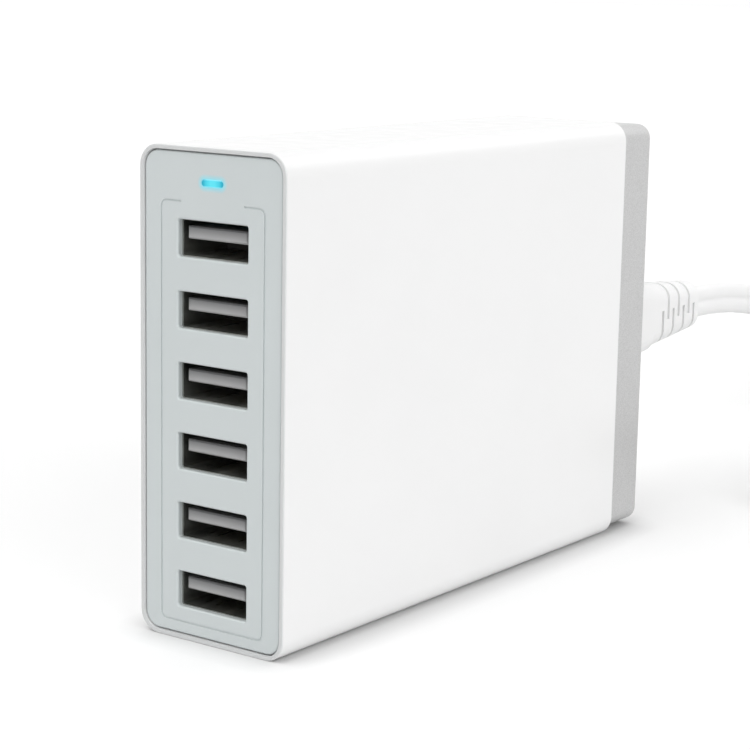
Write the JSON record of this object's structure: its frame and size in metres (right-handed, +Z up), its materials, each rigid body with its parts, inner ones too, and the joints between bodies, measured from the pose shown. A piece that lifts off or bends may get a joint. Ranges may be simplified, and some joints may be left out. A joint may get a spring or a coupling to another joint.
{
  "type": "multi port usb desktop charger",
  "caption": "Upright slab-shaped USB desktop charger: a column of A ports in the narrow front, mains lead in the back.",
  "frame": {"origin": "middle of the charger's outline on the surface it stands on, without its lead", "axes": "+X across the front, +Y from the front with the ports to the back with the lead, +Z up"},
  "size_m": [0.0574, 0.2846, 0.0728],
  "materials": {
    "white_case": "smooth gloss white",
    "grey_panel": "satin cool light grey",
    "silver_cap": "fine silver speckle",
    "blue_light": "clear, lit blue",
    "lamp": "clear",
    "port_steel": "tin plated",
    "port_plastic": "satin pale grey",
    "contact_gold": "gold plated",
    "circuit_board": "green solder mask",
    "black_plastic": "satin black",
    "ferrite": "dull dark grey",
    "winding_tape": "amber tape",
    "capacitor_sleeve": "dark shrink sleeve",
    "capacitor_box": "moulded box",
    "aluminium": "folded sheet",
    "plated_metal": "nickel plated",
    "white_cord": "satin white",
    "tie": "satin"
  },
  "bodies": {
    "root": {"board_header": "black_plastic", "bridge_rectifier": "black_plastic", "bulk_capacitor_1": "capacitor_sleeve", "bulk_capacitor_2": "capacitor_sleeve", "cord_connector": "white_cord", "cord_hank": "white_cord", "cord_lead": "white_cord", "cord_tail": "white_cord", "cord_tie": "tie", "filter_capacitor": "capacitor_box", "front_panel": "grey_panel", "fuse": "black_plastic", "inlet_housing": "black_plastic", "inlet_pin_1": "plated_metal", "inlet_pin_2": "plated_metal", "light_pipe": "blue_light", "line_choke": "winding_tape", "lower_heatsink": "aluminium", "main_board": "circuit_board", "output_capacitor_1": "capacitor_sleeve", "output_capacitor_2": "capacitor_sleeve", "output_capacitor_3": "capacitor_sleeve", "plug_blade_1": "plated_metal", "plug_blade_2": "plated_metal", "plug_body": "white_cord", "port_board": "circuit_board", "rear_cap": "silver_cap", "sleeve": "white_case", "status_led": "lamp", "transformer_core": "ferrite", "transformer_winding": "winding_tape", "upper_heatsink": "aluminium", "usb_contacts_1": "contact_gold", "usb_contacts_2": "contact_gold", "usb_contacts_3": "contact_gold", "usb_contacts_4": "contact_gold", "usb_contacts_5": "contact_gold", "usb_contacts_6": "contact_gold", "usb_insulator_1": "port_plastic", "usb_insulator_2": "port_plastic", "usb_insulator_3": "port_plastic", "usb_insulator_4": "port_plastic", "usb_insulator_5": "port_plastic", "usb_insulator_6": "port_plastic", "usb_shell_1": "port_steel", "usb_shell_2": "port_steel", "usb_shell_3": "port_steel", "usb_shell_4": "port_steel", "usb_shell_5": "port_steel", "usb_shell_6": "port_steel"}
  },
  "joints": []
}
